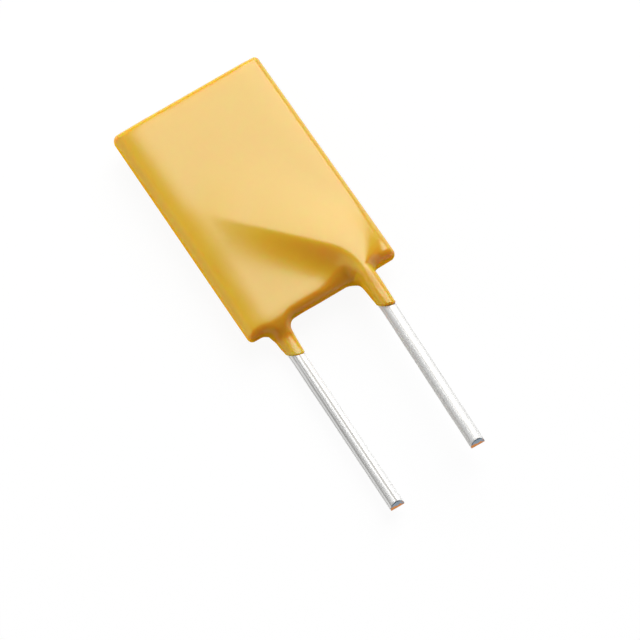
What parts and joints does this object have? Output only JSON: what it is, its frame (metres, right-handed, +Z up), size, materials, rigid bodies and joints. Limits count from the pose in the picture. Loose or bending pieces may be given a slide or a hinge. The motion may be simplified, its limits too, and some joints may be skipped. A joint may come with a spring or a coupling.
{
  "type": "resettable fuse",
  "caption": "Flat polymer resettable fuse dipped in golden-yellow epoxy, with a slanting ridge over the soldered wire on each face and straight tinned wire leads along one edge.",
  "frame": {"origin": "on the surface that the fuse lies on, under the middle of its overall box, leads included", "axes": "+X across the leads from the rear lead to the front lead, -Y along the leads away from the body, +Z up out of the front face"},
  "size_m": [0.0088, 0.0248, 0.0028],
  "materials": {
    "epoxy": "smooth dipped epoxy, satin",
    "conductive_polymer": "matt carbon-filled sheet",
    "nickel_foil": "rolled foil, dull",
    "solder": "reflowed solder, satin",
    "tinned_wire": "bright tin over drawn copper wire"
  },
  "bodies": {
    "root": {"epoxy_coating": "epoxy", "polymer_core": "conductive_polymer", "front_electrode": "nickel_foil", "rear_electrode": "nickel_foil", "front_solder": "solder", "rear_solder": "solder", "front_lead": "tinned_wire", "rear_lead": "tinned_wire"}
  },
  "joints": []
}
